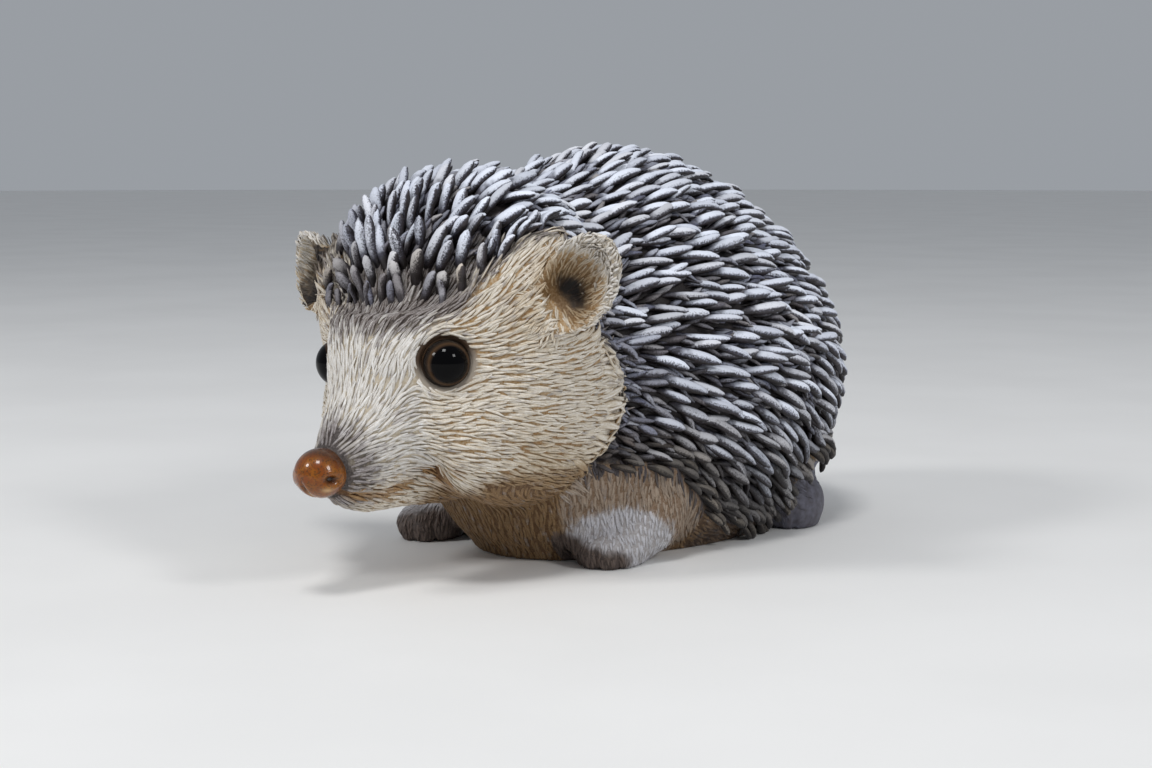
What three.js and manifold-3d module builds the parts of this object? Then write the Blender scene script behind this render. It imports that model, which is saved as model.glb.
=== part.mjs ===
// A hedgehog ornament of cast, painted resin with glass eyes. The animal rests on its belly and feet and
// looks straight ahead. Millimetres, +Z up: the nose points towards -Y, the hedgehog's left side is +X, and
// the origin is on the floor under the middle of the ornament. Every solid reaches out to the tips of the
// fur or quills that it carries.
import * as THREE from "three";
import { mergeVertices } from "three/addons/utils/BufferGeometryUtils.js";
import Module from "manifold-3d";

const wasm = await Module();
wasm.setup();

// ---- driving dimensions --------------------------------------------------------------------------------
const GAP = 0.3; // between two pieces that touch
const REACH = 160; // no surface is further than this from a centre that it is wrapped around

// Round masses of the body: a centre and three half sizes, across, along and up.
const BACK = { y: 15.5, z: 44.5, half: [44, 60, 55] };
const RUMP = { y: 38.5, z: 38, half: [45, 54.7, 46] };
const CHEST = { y: -10, z: 24, half: [26, 22, 26] };
const CROWN = { y: -42, z: 59.5, half: [39.5, 23.5, 35.5] };
const FACE = { y: -30.5, z: 44.5, half: [36, 25.5, 26] };
const CHEEK = { x: 16.5, y: -41, z: 34, half: [13.5, 26.5, 18] };
const BROW = { y: -62, z: 53, half: [19, 13, 11] };

// Cones with round ends: the snout over the jaw.
const SNOUT = { back: { y: -59.5, z: 45.5, radius: 17 }, tip: { y: -81, z: 28.5, radius: 7.2 } };
const JAW = { back: { y: -52, z: 25.5, radius: 9.5 }, tip: { y: -76.5, z: 23.6, radius: 3.8 } };

// The right eye sits a little lower and deeper than the left one.
const EYE = { x: { left: 16.2, right: 15.7 }, y: -64.9, z: { left: 51, right: 49 }, radius: 5.5 };
const NOSE = { y: -87, z: 27.9, half: [5.7, 6, 5.6] };

// An ear is an oval cup that opens forwards, turned a little outwards, and its top leans outwards. The
// right one is shorter and leans further.
const EAR = { x: 41, y: -50.5, z: 68, across: 8.5, deep: 8, tall: { left: 12, right: 10.4 }, rim: 2.2 };
const EAR_TURN = 27;
const EAR_LEAN = { left: 30, right: 36 };

// The right front leg stands a little wider than the left one.
const FORELEG = { x: { left: 27, right: 31 }, y: -5, z: 14, half: [10.5, 11.5, 13] };
const FOREPAW = { x: { left: 24.5, right: 32 }, y: -17.5, z: 3.8, half: [8.5, 9.5, 6.2] };
const HINDFOOT = { x: { left: 32, right: 32 }, y: 53.5, z: 6, half: [7, 10, 9] };
const TAIL = { back: { y: 76, z: 12, radius: 6 }, tip: { y: 86, z: 6.5, radius: 3.5 } };

// The head is parted from the trunk by a large round surface behind the cheeks and the crown.
const PARTING = { y: -71, z: 60, half: [80, 56, 60] };

// The places from which each part's surface is seen all round, and how finely it is faceted there.
const HEAD_VIEW = { x: 0, y: -48, z: 42, detail: 10 };
const TRUNK_VIEW = { x: 0, y: 20, z: 44, detail: 9 };
const FORELEG_VIEW = { ...FOREPAW, y: -11.5, detail: 3 };
const HINDFOOT_VIEW = { ...HINDFOOT, detail: 3 };
const TAIL_VIEW = { x: 0, ...TAIL.tip, detail: 2 };
const EYE_FACETS = [16, 10];
const NOSE_FACETS = [18, 10];
const EAR_FACETS = [16, 10];
const PARTING_FACETS = [28, 16];

// ---- distance fields: negative inside, in millimetres --------------------------------------------------
const at = (x, y, z) => new THREE.Vector3(x, y, z);

function ellipsoid({ x = 0, y, z, half }) {
  const [halfX, halfY, halfZ] = half;
  return (p) => {
    const [a, b, c] = [(p.x - x) / halfX, (p.y - y) / halfY, (p.z - z) / halfZ];
    const reach = Math.hypot(a, b, c);
    const slope = Math.hypot(a / halfX, b / halfY, c / halfZ);
    return slope < 1e-9 ? -Math.min(...half) : (reach * (reach - 1)) / slope;
  };
}

function cone({ back, tip }) {
  const start = at(0, back.y, back.z);
  const axis = at(0, tip.y, tip.z).sub(start);
  return (p) => {
    const along = THREE.MathUtils.clamp(p.clone().sub(start).dot(axis) / axis.lengthSq(), 0, 1);
    const nearest = start.clone().addScaledVector(axis, along);
    return nearest.distanceTo(p) - THREE.MathUtils.lerp(back.radius, tip.radius, along);
  };
}

// The union of several fields, with a hollow fillet of about the given size where two meet.
function blend(size, ...fields) {
  const join = (a, b) => {
    const near = Math.max(size - Math.abs(a - b), 0) / size;
    return Math.min(a, b) - (near * near * size) / 4;
  };
  return (p) => fields.map((field) => field(p)).reduce(join);
}

// A shape's number is for both sides, or it is one for each side. Its x is the distance from the middle.
const SIDES = { left: 1, right: -1 };
function onSide(shape, side) {
  const own = Object.entries(shape).map(([name, value]) => [name, value[side] ?? value]);
  const { x, ...others } = Object.fromEntries(own);
  return { x: x * SIDES[side], ...others };
}

// ---- the form of the flesh -----------------------------------------------------------------------------
const trunkField = blend(14, ellipsoid(BACK), ellipsoid(RUMP), ellipsoid(CHEST));
const skullField = blend(8, ellipsoid(CROWN), ellipsoid(FACE), ellipsoid(BROW));
const cheeksField = blend(10, skullField, ...Object.keys(SIDES).map((side) => ellipsoid(onSide(CHEEK, side))));
const muzzleField = blend(6, blend(9, cheeksField, cone(SNOUT)), cone(JAW));
const headField = blend(7, muzzleField, trunkField);
const forelegField = (side) => blend(7, ellipsoid(onSide(FORELEG, side)), ellipsoid(onSide(FOREPAW, side)));
const hindfootField = (side) => ellipsoid(onSide(HINDFOOT, side));

// ---- from fields and three.js shapes to solids ---------------------------------------------------------
// Moves each vertex of a sphere out from the centre until it meets the field's level.
function wrap(field, { x, y, z, detail }, level = 0) {
  const centre = at(x, y, z);
  const points = new THREE.IcosahedronGeometry(1, detail);
  points.deleteAttribute("normal");
  points.deleteAttribute("uv");
  const geometry = mergeVertices(points, 1e-5);
  const position = geometry.getAttribute("position");
  const ray = at(0, 0, 0);
  const probe = at(0, 0, 0);
  for (let i = 0; i < position.count; i++) {
    ray.fromBufferAttribute(position, i).normalize();
    let inside = 0;
    let outside = REACH;
    while (outside - inside > 1e-4) {
      const middle = (inside + outside) / 2;
      if (field(probe.copy(centre).addScaledVector(ray, middle)) < level) inside = middle;
      else outside = middle;
    }
    position.setXYZ(i, ...probe.copy(centre).addScaledVector(ray, inside));
  }
  return toSolid(geometry);
}

function toSolid(geometry) {
  geometry.deleteAttribute("normal");
  geometry.deleteAttribute("uv");
  const merged = mergeVertices(geometry, 1e-5);
  const vertProperties = merged.getAttribute("position").array;
  const triVerts = new Uint32Array(merged.index.array);
  return new wasm.Manifold(new wasm.Mesh({ numProp: 3, vertProperties, triVerts }));
}

// A round body with its poles on the Y axis.
function roundGeometry(half, [around, rings]) {
  return new THREE.SphereGeometry(1, around, rings).rotateX(Math.PI / 2).scale(...half);
}

function roundSolid({ x = 0, y, z, half }, facets, grow = 0) {
  const grown = half.map((size) => size + grow);
  return toSolid(roundGeometry(grown, facets).translate(x, y, z));
}

function blockSolid(lowest, highest) {
  const size = highest.clone().sub(lowest);
  const middle = highest.clone().add(lowest).divideScalar(2);
  return toSolid(new THREE.BoxGeometry(...size).translate(...middle));
}

// ---- the parts -----------------------------------------------------------------------------------------
const aboveFloor = blockSolid(at(-REACH, -REACH, 0), at(REACH, REACH, REACH));

function eyeSolid(side, grow = 0) {
  const half = [EYE.radius, EYE.radius, EYE.radius];
  return roundSolid({ ...onSide(EYE, side), half }, EYE_FACETS, grow);
}

const noseSolid = (grow = 0) => roundSolid(NOSE, NOSE_FACETS, grow);

function earSolids(side) {
  const { x, y, z, across, deep, tall, rim } = onSide(EAR, side);
  const cup = { y: 0, z: 0, half: [across, deep, tall] };
  const place = (solid) => {
    const leaning = solid.rotate([0, EAR_LEAN[side] * SIDES[side], 0]);
    return leaning.rotate([0, 0, EAR_TURN * SIDES[side]]).translate([x, y, z]);
  };
  const backHalf = (grow) => {
    const behindRim = blockSolid(at(-REACH, -grow, -REACH), at(REACH, REACH, REACH));
    return roundSolid(cup, EAR_FACETS, grow).intersect(behindRim);
  };
  const bowl = roundSolid(cup, EAR_FACETS, -rim);
  return { cup: place(backHalf(0).subtract(bowl)), socket: place(backHalf(GAP)) };
}

const feet = {
  foreleg: (side, grow = 0) => wrap(forelegField(side), onSide(FORELEG_VIEW, side), grow),
  hindfoot: (side, grow = 0) => wrap(hindfootField(side), onSide(HINDFOOT_VIEW, side), grow),
};

const tailSolid = (grow = 0) => wrap(cone(TAIL), TAIL_VIEW, grow);

const parting = (grow) => roundSolid(PARTING, PARTING_FACETS, grow);
const headSide = wrap(headField, HEAD_VIEW).intersect(parting(-GAP / 2));
const trunkSide = wrap(trunkField, TRUNK_VIEW).subtract(parting(GAP / 2));
const pieces = {
  head: headSide.subtract(noseSolid(GAP)),
  trunk: trunkSide.intersect(aboveFloor).subtract(tailSolid(GAP)),
  nose: noseSolid(),
  tail: tailSolid(),
};
for (const side of Object.keys(SIDES)) {
  const ear = earSolids(side);
  pieces.head = pieces.head.subtract(eyeSolid(side, GAP)).subtract(ear.socket);
  pieces.trunk = pieces.trunk.subtract(ear.socket);
  pieces[`eye_${side}`] = eyeSolid(side);
  pieces[`ear_${side}`] = ear.cup;
  for (const [name, foot] of Object.entries(feet)) {
    pieces[`${name}_${side}`] = foot(side).intersect(aboveFloor);
    pieces.trunk = pieces.trunk.subtract(foot(side, GAP));
    pieces.head = pieces.head.subtract(foot(side, GAP));
  }
}

// ---- colours -------------------------------------------------------------------------------------------
const paint = (color, roughness) => new THREE.MeshStandardMaterial({ color, roughness, metalness: 0 });
const quillPaint = paint("#56535e", 0.7);
const furPaint = paint("#d9c8a8", 0.75);
const pawPaint = paint("#9c938c", 0.75);
const eyeGlass = paint("#0b0807", 0.05);
const noseVarnish = paint("#9b4b22", 0.12);

const materials = {
  head: furPaint,
  trunk: quillPaint,
  tail: quillPaint,
  nose: noseVarnish,
  ear: furPaint,
  eye: eyeGlass,
  foreleg: pawPaint,
  hindfoot: pawPaint,
};

// ---- the named meshes ----------------------------------------------------------------------------------
function toMesh(name, shape) {
  const { numProp, numVert, vertProperties, triVerts } = shape.getMesh();
  const positions = new Float32Array(numVert * 3);
  for (let i = 0; i < numVert; i++) {
    positions.set(vertProperties.subarray(i * numProp, i * numProp + 3), i * 3);
  }
  const geometry = new THREE.BufferGeometry();
  geometry.setAttribute("position", new THREE.BufferAttribute(positions, 3));
  geometry.setIndex(new THREE.BufferAttribute(triVerts, 1));
  geometry.computeVertexNormals();
  const mesh = new THREE.Mesh(geometry, materials[name.split("_")[0]]);
  mesh.name = name;
  return mesh;
}

const hedgehog = new THREE.Group();
for (const [name, shape] of Object.entries(pieces)) hedgehog.add(toMesh(name, shape));

export default hedgehog;
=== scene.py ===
import math
from dataclasses import dataclass, replace
from functools import partial
from itertools import product

import bmesh
import bpy
import numpy as np
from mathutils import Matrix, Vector
from mathutils.bvhtree import BVHTree


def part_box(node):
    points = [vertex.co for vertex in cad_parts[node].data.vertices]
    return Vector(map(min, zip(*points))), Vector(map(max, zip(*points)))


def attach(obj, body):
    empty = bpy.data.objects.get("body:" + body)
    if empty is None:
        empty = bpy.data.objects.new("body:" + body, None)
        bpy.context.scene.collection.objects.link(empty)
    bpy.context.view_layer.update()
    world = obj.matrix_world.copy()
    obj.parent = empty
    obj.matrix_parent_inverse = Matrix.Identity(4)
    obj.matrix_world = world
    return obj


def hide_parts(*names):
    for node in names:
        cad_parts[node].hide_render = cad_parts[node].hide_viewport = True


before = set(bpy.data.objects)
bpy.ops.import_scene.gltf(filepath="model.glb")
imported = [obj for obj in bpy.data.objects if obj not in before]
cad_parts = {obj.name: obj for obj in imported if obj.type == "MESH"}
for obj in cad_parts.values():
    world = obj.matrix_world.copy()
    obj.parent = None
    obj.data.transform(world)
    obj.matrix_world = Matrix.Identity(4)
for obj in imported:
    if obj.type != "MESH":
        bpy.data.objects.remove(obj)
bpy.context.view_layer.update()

MM = 0.001
rng = np.random.default_rng(11)

FLESH = ["head", "trunk", "tail"] + [
    f"{part}_{side}" for part in ("ear", "foreleg", "hindfoot") for side in ("left", "right")
]
SIDES = {"left": 1.0, "right": -1.0}

# ---- sizes of the skin ---------------------------------------------------------------------------------
VOXEL = 1.15  # of the remeshed skin
SWELL = 0.3  # each solid is swollen by this, so that the thin partings between them close
CORE = 0.86  # share of an eye's or the nose's solid that the skin fills behind it
QUILL_DEPTH = 4.6  # from the tips of the quills to the skin
QUILL_TIP = QUILL_DEPTH - 0.95  # from the skin to the middle of a full-grown quill's tip
CROWN_DROP, BACK_DROP = 1.3, 0.6  # how much deeper the skin lies on the crown and along the top of the back
FUR_DEPTH = 0.75  # from the tips of the fur strokes to the skin
FINE_FUR_DEPTH = 0.45  # on the ears, paws and muzzle


def centre_of(node):
    low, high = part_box(node)
    return np.array((low + high) / 2) / MM


def half_of(node):
    low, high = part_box(node)
    return np.array((high - low) / 2) / MM


EYE_CENTRE = {side: centre_of(f"eye_{side}") for side in SIDES}
EYE_RADIUS = float(half_of("eye_left")[0])
EAR_CENTRE = {side: centre_of(f"ear_{side}") for side in SIDES}
PAW_CENTRE = {side: centre_of(f"foreleg_{side}") for side in SIDES}
HIND_CENTRE = {side: centre_of(f"hindfoot_{side}") for side in SIDES}
NOSE_CENTRE, NOSE_HALF = centre_of("nose"), half_of("nose")
FUR_SOURCE = NOSE_CENTRE + (0, 1, 0)  # the face's strokes run away from here

# The edge of the quills: how high the fur reaches on the forehead by the distance from the middle, how far
# back it reaches on the cheek by height, and how low the quills reach by the distance along the body.
FOREHEAD_EDGE = {
    "left": ([0, 12, 18, 21, 24, 28, 31, 60], [61.5, 62.6, 65.2, 68.2, 71.5, 76.5, 79.5, 92]),
    "right": ([0, 8, 15, 24, 28, 31, 34, 60], [61.5, 61.3, 60.8, 60.8, 61.3, 63.5, 70, 92]),
}
RUFF_EDGE = ([0, 24, 29, 35, 41, 47, 53, 57, 62, 76, 100],
             [-30, -33, -29, -27, -27, -29, -33, -40, -43, -44, -50])
HEM = ([-60, -26, -17, -6, 0, 7, 14, 25, 40, 60, 95], [26, 24.5, 24, 22, 17, 11, 7, 4.5, 4, 5, 5])
EAR_CLEAR = {"left": (13.5, 8.0, 12.5), "right": (10.5, 7.0, 11.5)}  # the fur round an ear, as half sizes
CROWN_END, RUMP_START, UNDER_SPLIT = -26, 32, 5  # where the quills' pieces part, along the body
MOST_CURL = 0.55  # the cosine between a quill's two ends where it bends the most
EAR_CLEAR_SHIFT = np.array((-2.5, -4.3, 1.0))  # from the ear's middle to the middle of that fur
# The quills part round a hind foot: the reach, the place's shift from the foot's middle and its proportions.
FOOT_ARCH, ARCH_SHIFT, ARCH_SHAPE = 12.3, np.array((1.5, 1.0, -1.5)), (1.0, 1.15, 1.35)

# The mouth, from under the nose to its corner, on the left side.
MOUTH = np.array([(2.0, -84.5, 24.4), (4.8, -80.0, 22.6), (5.4, -74.0, 22.4), (6.2, -68.8, 23.8),
                  (7.9, -65.0, 24.8), (11.8, -64.4, 26.8), (16.2, -66.2, 28.8)])
MOUTH_DEPTH, MOUTH_WIDTH = 1.2, 0.9
LIP_SHIFT, LIP_HEIGHT, LIP_WIDTH = (0.8, 0.0, 2.4), 0.5, 1.8  # the upper lip, from the mouth
POCKET = np.array((10.8, -64.6, 26.2))  # the shadowed corner of the mouth
CHIN, CHIN_REACH, CHIN_DROP = np.array((3.0, -71.5, 19.5)), 7.5, 1.9  # the jaw is fuller here
NAPE, NAPE_REACH, NAPE_RISE = np.array((9.0, -24.0, 87.0)), 12.0, 4.2  # between the crown and the back
LID_RADIUS, LID_WIDTH, LID_HEIGHT, LID_GROOVE = 6.15, 0.5, 0.5, 0.35
SOCKET_DEPTH = 0.8  # how far in front of an eye's middle its lids lie
SOCKET_AXIS = np.array([0.70, -0.70, 0.10])
BROW_WAY = (-0.25, -0.15, 0.95)  # the way from an eye to its shaded upper lid
GAZE = {"left": np.array([0.82, -0.58, -0.02]), "right": np.array([0.56, -0.83, 0.0])}

# The ears: where the bowl is deepest, the way that it opens, and how far it is hollowed out.
EAR_HOLE = np.array((36.4, -46.6, 66.8))
EAR_OPEN = np.array((0.50, -0.86, 0.04))
HOLE_DEPTH, HOLE_RADIUS = 1.4, 4.2
# The right ear's dark hole paint reaches over most of its bowl: painted shade.
BOWL_REACH, HOLE_REACH = {"left": 10.6, "right": 13.0}, {"left": 4.5, "right": 15.0}  # of the paint inside
BOWL_CLEAR = {"left": 8.8, "right": 12.0}  # no stroke of the face starts in here
BOWL_SHIFT = np.array((-1.2, 0.0, 0.0))
EAR_SLANT = np.array((0.60, 0.37, -0.71))  # along the hole, down and outwards
EAR_LIP = np.array((-0.51, -0.50, -0.70))  # from the hole to the fold that hides its lower inner side
EAR_FAN = np.array((-2.6, -1.6, -2.4))  # from the hole to where the strokes inside the bowl fan out from


# ---- vectors and curves --------------------------------------------------------------------------------
def norm(v):
    """The length of each row."""
    return np.linalg.norm(v, axis=1)


def unit(v):
    return v / np.maximum(np.linalg.norm(v, axis=-1, keepdims=True), 1e-9)


def dot(a, b):
    return (a * b).sum(-1, keepdims=True)


def along_surface(v, n):
    return unit(v - dot(v, n) * n)


def ease(x, start, end):
    """0 before start and 1 after end, smooth between them."""
    t = np.clip((x - start) / (end - start), 0, 1)
    return t * t * (3 - 2 * t)


def fade(x, start, end):
    """1 before start and 0 after end, smooth between them."""
    return 1 - ease(x, start, end)


def bell(x):
    """1 at 0, and falling to 0 on both sides."""
    return np.exp(-(x**2))


def mirrored(v, side):
    """A vector given for the left side, as it is on this one."""
    return np.asarray(v, float) * (side, 1, 1)


def folded(p):
    """The places with the right side laid onto the left."""
    return np.stack([np.abs(p[:, 0]), p[:, 1], p[:, 2]], 1)


def between(low, high, count):
    return rng.uniform(low, high, count)


def level(value):
    """The same value at every place."""
    return lambda p: np.full(len(p), value)


# ---- meshes --------------------------------------------------------------------------------------------
def new_mesh(name, places, *faces):
    """A mesh in millimetres from arrays of faces, one array for each number of corners."""
    mesh = bpy.data.meshes.new(name)
    corners = np.concatenate([f.ravel() for f in faces]).astype(np.int32)
    counts = np.concatenate([np.full(len(f), f.shape[1]) for f in faces])
    mesh.vertices.add(len(places))
    mesh.loops.add(len(corners))
    mesh.polygons.add(len(counts))
    mesh.vertices.foreach_set("co", (places * MM).astype(np.float32).ravel())
    mesh.polygons.foreach_set("loop_start", np.concatenate([[0], np.cumsum(counts)[:-1]]).astype(np.int32))
    mesh.loops.foreach_set("vertex_index", corners)
    mesh.update(calc_edges=True)
    mesh.shade_smooth()
    return mesh


def tube_faces(rings, sides):
    """The quads between rings of points, and the triangles to the two points that close its ends."""
    k = np.arange(sides)
    after = (k + 1) % sides
    quads = [np.stack([r + k, r + after, r + sides + after, r + sides + k], 1)
             for r in sides * np.arange(rings - 1)]
    first, last, ring = np.full(sides, rings * sides), np.full(sides, rings * sides + 1), (rings - 1) * sides
    tris = [np.stack([after, k, first], 1), np.stack([ring + k, ring + after, last], 1)]
    return np.concatenate(quads), np.concatenate(tris)


def places_of(mesh):
    co = np.empty(len(mesh.vertices) * 3, np.float32)
    mesh.vertices.foreach_get("co", co)
    return co.reshape(-1, 3).astype(float) / MM


def normals_of(mesh):
    no = np.empty(len(mesh.vertices) * 3, np.float32)
    mesh.vertex_normals.foreach_get("vector", no)
    return no.reshape(-1, 3).astype(float)


def set_places(mesh, places):
    mesh.vertices.foreach_set("co", (places * MM).astype(np.float32).ravel())
    mesh.update()


def edges_of(mesh):
    pairs = np.empty(len(mesh.edges) * 2, np.int32)
    mesh.edges.foreach_get("vertices", pairs)
    return pairs.reshape(-1, 2)


def store(mesh, name, values):
    mesh.attributes.new(name, "FLOAT", "POINT").data.foreach_set("value", values.astype(np.float32))


def spread(values, pairs, rounds, share=0.5):
    """values evened out along the edges of a mesh."""
    count = np.maximum(np.bincount(pairs.ravel(), minlength=len(values)).astype(float), 1)
    flat = values.reshape(len(values), -1).copy()
    for _ in range(rounds):
        for k, column in enumerate(flat.T.copy()):
            total = np.bincount(pairs[:, 0], column[pairs[:, 1]], len(column))
            total += np.bincount(pairs[:, 1], column[pairs[:, 0]], len(column))
            flat[:, k] = column + share * (total / count - column)
    return flat.reshape(values.shape)


def even_out(mesh, rounds):
    """Takes the steps out of a remeshed surface with little loss of volume."""
    pairs, places = edges_of(mesh), places_of(mesh)
    for _ in range(rounds):
        for share in (0.55, -0.57):
            places = places + (spread(places, pairs, 1, share) - places)
    set_places(mesh, places)


def add_piece(mesh, name, material, nodes=()):
    piece = bpy.data.objects.new(name, mesh)
    bpy.context.scene.collection.objects.link(piece)
    mesh.materials.append(material)
    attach(piece, "root")
    if nodes:
        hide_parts(*nodes)
    return piece


# ---- the skin ------------------------------------------------------------------------------------------
def node_solid(node, share):
    """A node's vertices and faces, its coincident vertices merged, shrunk about its middle and swollen."""
    solid = bmesh.new()
    solid.from_mesh(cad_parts[node].data)
    bmesh.ops.remove_doubles(solid, verts=solid.verts, dist=1e-7)
    solid.normal_update()
    places = np.array([v.co for v in solid.verts]) / MM
    normals = np.array([v.normal for v in solid.verts])
    faces = [[v.index for v in f.verts] for f in solid.faces]
    solid.free()
    middle = (places.min(0) + places.max(0)) / 2
    return middle + (places - middle) * share + normals * SWELL, faces


def joined_flesh():
    """One rough mesh of all the flesh, filled behind the eyes and the nose."""
    places, faces, labels, start = [], [], [], 0
    parts = [(node, 1.0) for node in FLESH] + [(node, CORE) for node in ("nose", "eye_left", "eye_right")]
    for number, (node, share) in enumerate(parts):
        own, own_faces = node_solid(node, share)
        places.append(own)
        faces += [[i + start for i in face] for face in own_faces]
        labels += [number] * len(own_faces)
        start += len(own)
    return np.concatenate(places), faces, np.array(labels)


def remeshed(places, faces):
    rough = bpy.data.meshes.new("rough")
    rough.from_pydata((places * MM).tolist(), [], faces)
    holder = bpy.data.objects.new("rough", rough)
    bpy.context.scene.collection.objects.link(holder)
    remesh = holder.modifiers.new("remesh", "REMESH")
    remesh.mode, remesh.voxel_size, remesh.adaptivity = "VOXEL", VOXEL * MM, 0.0
    bpy.context.view_layer.update()
    evaluated = holder.evaluated_get(bpy.context.evaluated_depsgraph_get())
    skin = bpy.data.meshes.new_from_object(evaluated)
    bpy.data.objects.remove(holder)
    return skin


def refined(mesh, chosen):
    """The faces round the chosen vertices, cut finer."""
    fine = bmesh.new()
    fine.from_mesh(mesh)
    edges = [e for e in fine.edges if chosen[e.verts[0].index] and chosen[e.verts[1].index]]
    bmesh.ops.subdivide_edges(fine, edges=edges, cuts=1, use_grid_fill=True)
    loose = [f for f in fine.faces if len(f.verts) > 4]
    bmesh.ops.triangulate(fine, faces=loose)
    fine.to_mesh(mesh)
    fine.free()


def forehead_edge(p):
    """How high the fur reaches at each place's distance from the middle."""
    left, right = (np.interp(np.abs(p[:, 0]), *FOREHEAD_EDGE[side]) for side in SIDES)
    return np.where(p[:, 0] > 0, left, right)


def past_arch(p):
    """How far outside the arch over its hind foot a place is, in millimetres."""
    return norm((folded(p) - (HIND_CENTRE["left"] + ARCH_SHIFT)) / ARCH_SHAPE) - FOOT_ARCH


def quill_reach(p):
    """How far inside the quills a place is, in millimetres. Negative in the fur."""
    q = folded(p)
    y, z = q[:, 1], q[:, 2]
    behind = np.maximum(z - forehead_edge(p), y - np.interp(z, *RUFF_EDGE))
    clear = np.where(p[:, :1] > 0, EAR_CLEAR["left"], EAR_CLEAR["right"])
    ear = (norm((q - EAR_CENTRE["left"] - EAR_CLEAR_SHIFT) / clear) - 1) * 9
    return np.minimum.reduce([behind, z - np.interp(y, *HEM), past_arch(p), ear])


def near(p, centres, radii):
    """1 at the middle of the nearest of several ellipsoids, 0 at its surface and beyond."""
    reach = [norm((p - c) / radii) for c in centres.values()]
    return np.clip(1 - np.minimum.reduce(reach), 0, 1)


def eye_frame(p, side):
    """Distances from an eye's socket axis and along it."""
    away = p - EYE_CENTRE[side]
    axis = unit(mirrored(SOCKET_AXIS, SIDES[side]))
    along = away @ axis
    across = away - along[:, None] * axis
    return norm(across), along, across


def line_distance(p, line):
    """Distance from a bent line, and how far along it the nearest place is, from 0 to 1."""
    best, share = np.full(len(p), 1e9), np.zeros(len(p))
    for k, (a, b) in enumerate(zip(line[:-1], line[1:])):
        t = np.clip(((p - a) @ (b - a)) / ((b - a) @ (b - a)), 0, 1)
        distance = norm(p - a - t[:, None] * (b - a))
        closer = distance < best
        best[closer], share[closer] = distance[closer], ((k + t) / (len(line) - 1))[closer]
    return best, share


def folds(p, n):
    """How far the skin's folds stand out: lids, mouth, lips and toes."""
    height = np.zeros(len(p))
    for side, sign in SIDES.items():
        across, along, _ = eye_frame(p, side)
        outside = along > -2.5
        height += outside * LID_HEIGHT * bell((across - LID_RADIUS) / LID_WIDTH)
        height -= outside * LID_GROOVE * bell((across - LID_RADIUS - 1.6) / 0.8)
        distance, share = line_distance(p, mirrored(MOUTH, sign))
        deeper = 0.9 - 0.5 * ease(share, 0.8, 1.0)
        height -= MOUTH_DEPTH * deeper * bell(distance / (MOUTH_WIDTH * (0.9 + 0.5 * share)))
        distance, share = line_distance(p, mirrored(MOUTH + LIP_SHIFT, sign))
        height += LIP_HEIGHT * bell(distance / LIP_WIDTH) * (1 - share)
        height -= 0.6 * bell(norm((p - mirrored(POCKET, sign)) / (1.4, 1.3, 1)) / 2.4)
        chin = norm((p - mirrored(CHIN, sign)) / (0.8, 1.2, 0.8)) / CHIN_REACH
        height += CHIN_DROP * 0.62 * bell(chin) * ease(-n[:, 2], -0.1, 0.6) * (p[:, 2] < 25)
        height += NAPE_RISE * bell(norm(p - mirrored(NAPE, sign)) / NAPE_REACH)
        height += toes(p, n, side)
    return height


TOE_TURN, TOE_DEPTH = 0.52, 0.8  # the angle from toe to toe, and the groove between them


def toes(p, n, side):
    """Grooves between the toes of the forepaw and the hind foot."""
    height = np.zeros(len(p))
    for centre, front, low in ((PAW_CENTRE[side] + (0, -3.5, 0), -8.0, 6.5), (HIND_CENTRE[side], -6.0, 6.0)):
        away = p - centre
        turn = np.arctan2(away[:, 0], -away[:, 1])
        inside = (np.hypot(away[:, 0], away[:, 1]) < 16) & (np.abs(away[:, 0]) < 12)
        reach = ease(-away[:, 1], -front * 0.35, -front) * fade(p[:, 2], low - 2.5, low) * inside
        groove = bell(((turn / TOE_TURN + 0.5) % 1 - 0.5) / 0.16)
        height -= TOE_DEPTH * groove * reach * ease(np.abs(n[:, 1]) + np.abs(n[:, 2]), 0.2, 0.6)
    return height


def open_sockets(p):
    """The skin held back round each eye, so that nearly all of the ball's front stands out of it."""
    for side, sign in SIDES.items():
        across, along, _ = eye_frame(p, side)
        limit = SOCKET_DEPTH + 0.55 * np.maximum(across - EYE_RADIUS, 0) ** 1.3
        excess = np.maximum(along - limit, 0) * (across < 11)
        p = p - unit(mirrored(SOCKET_AXIS, sign)) * excess[:, None]
    return p


def hollow_ears(p, n):
    """The skin with each ear's bowl deepened towards the head."""
    moved = p.copy()
    for sign in SIDES.values():
        axis = unit(mirrored(EAR_OPEN, sign))
        away = p - mirrored(EAR_HOLE, sign)
        along = away @ axis
        across = norm((away - along[:, None] * axis) * (1.0, 1.0, 0.8))
        facing = ease(n @ axis, 0.0, 0.35) * (np.abs(along) < 9)
        moved -= axis * (HOLE_DEPTH * facing * bell(across / HOLE_RADIUS))[:, None]
    return moved


def coat_depth(p, label):
    """How far the skin lies inside the solids."""
    depth = FUR_DEPTH + (QUILL_DEPTH - FUR_DEPTH) * ease(quill_reach(p), -0.5, 3.0)
    depth += CROWN_DROP * fade(p[:, 1], -42, -25) * ease(quill_reach(p), 0, 6) * ease(p[:, 2], 70, 84)
    depth += BACK_DROP * ease(p[:, 1], -26, -10) * ease(p[:, 2], 80, 92)
    fine = np.maximum(near(p, EAR_CENTRE, (20, 16, 20)), near(p, PAW_CENTRE, (18, 22, 16)))
    fine = np.maximum(fine, fade(norm(p - NOSE_CENTRE), 9, 22))
    depth = np.where(labelled(label, "ear", "fore", "hind"), FINE_FUR_DEPTH, depth)
    depth = np.where(quill_reach(p) < 0, depth + (FINE_FUR_DEPTH - depth) * ease(fine, 0, 0.5), depth)
    return depth * ease(p[:, 2], 0.2, 1.2)


def labelled(label, *starts):
    """Whether each vertex came from a solid whose name starts with one of these."""
    return np.isin(label, [FLESH.index(n) for n in FLESH if n.startswith(starts)])


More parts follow.
